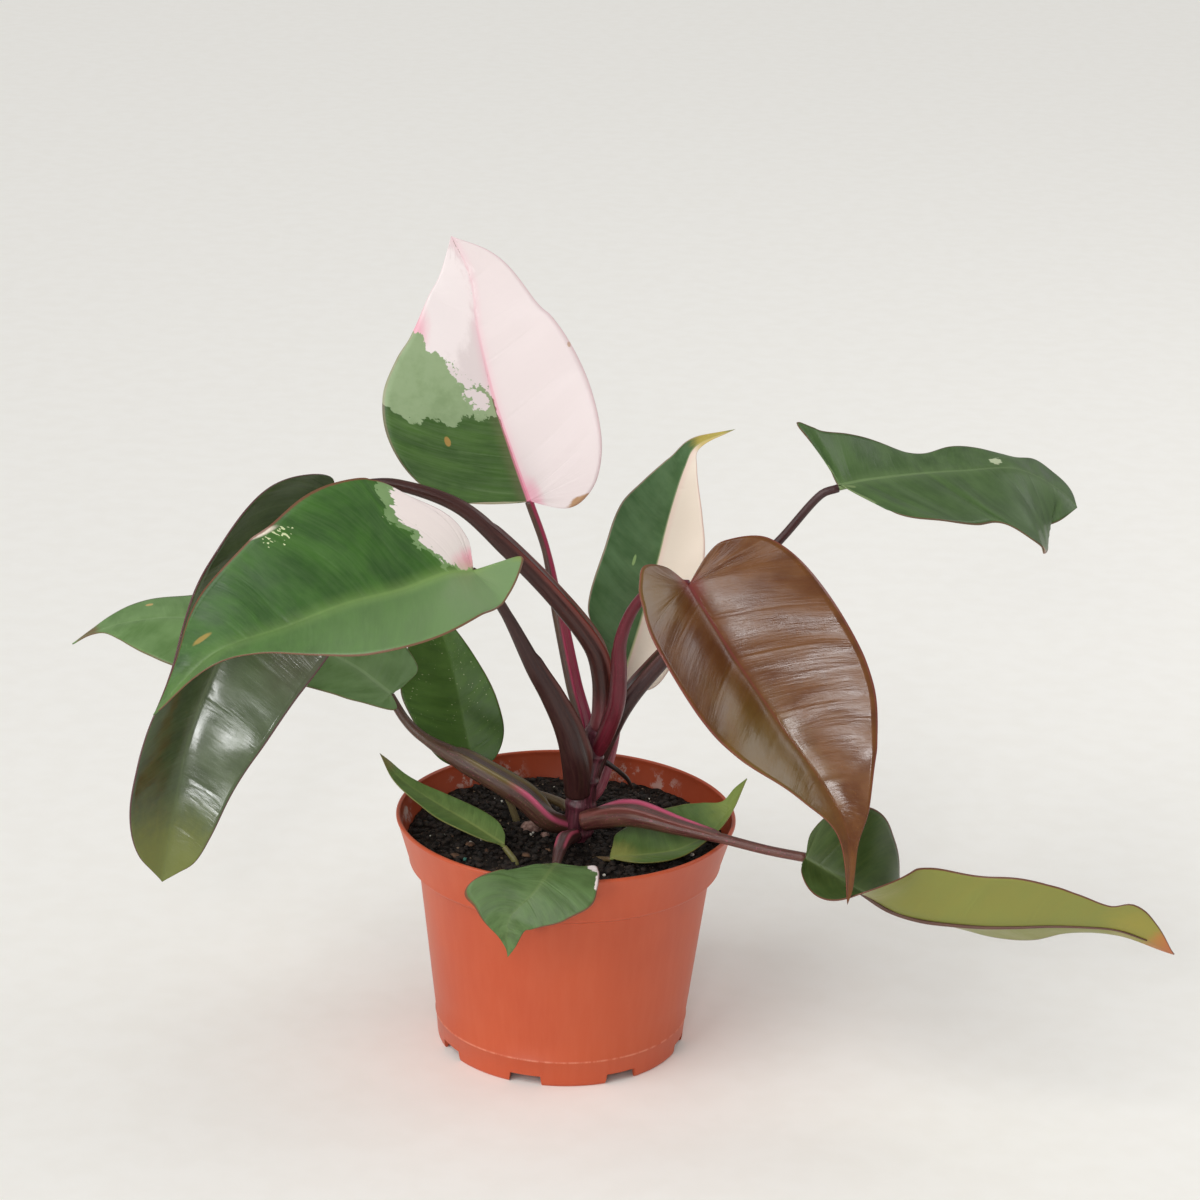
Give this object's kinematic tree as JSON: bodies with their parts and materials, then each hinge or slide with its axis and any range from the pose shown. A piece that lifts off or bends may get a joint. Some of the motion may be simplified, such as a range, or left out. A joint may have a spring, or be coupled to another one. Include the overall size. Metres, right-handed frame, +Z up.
{
  "type": "potted philodendron",
  "caption": "Pink-variegated climbing aroid with heart-shaped and lance-shaped leaves on maroon petioles, growing from peat in a round terracotta-coloured plastic nursery pot",
  "frame": {"origin": "centre of the pot's flat base, on the surface that the pot stands on", "axes": "+Z up along the pot's axis, +X to the plant's right as pictured, +Y to its back, away from the viewer"},
  "size_m": [0.4793, 0.1768, 0.3481],
  "materials": {
    "terracotta_plastic": "satin moulded plastic",
    "peat": "rough, dark and crumbly",
    "maroon_stem": "smooth, half glossy",
    "crimson_petiole": "smooth, half glossy",
    "green_blade": "smooth, half glossy",
    "variegated_blade": "smooth, green and pinkish white in patches",
    "bronze_blade": "glossy bronze brown",
    "dry_plant": "dry and dull"
  },
  "bodies": {
    "root": {"pot": "terracotta_plastic", "soil": "peat", "main_stem": "maroon_stem", "aerial_root": "dry_plant", "dry_petiole_left": "dry_plant", "dry_petiole_right": "dry_plant", "blade_pink_upright": "variegated_blade", "petiole_pink_upright": "maroon_stem", "blade_green_front": "variegated_blade", "petiole_green_front": "maroon_stem", "blade_dark_left": "green_blade", "petiole_dark_left": "maroon_stem", "blade_far_left": "green_blade", "petiole_far_left": "maroon_stem", "blade_rear_left": "green_blade", "petiole_rear_left": "maroon_stem", "blade_small_left": "green_blade", "petiole_small_left": "maroon_stem", "blade_small_front": "green_blade", "petiole_small_front": "maroon_stem", "blade_small_right": "green_blade", "petiole_small_right": "maroon_stem", "blade_low_right": "green_blade", "petiole_low_right": "maroon_stem", "blade_bronze_right": "bronze_blade", "petiole_bronze_right": "crimson_petiole", "blade_green_top_right": "green_blade", "petiole_green_top_right": "maroon_stem", "blade_cream_rear": "variegated_blade", "petiole_cream_rear": "maroon_stem"}
  },
  "joints": []
}
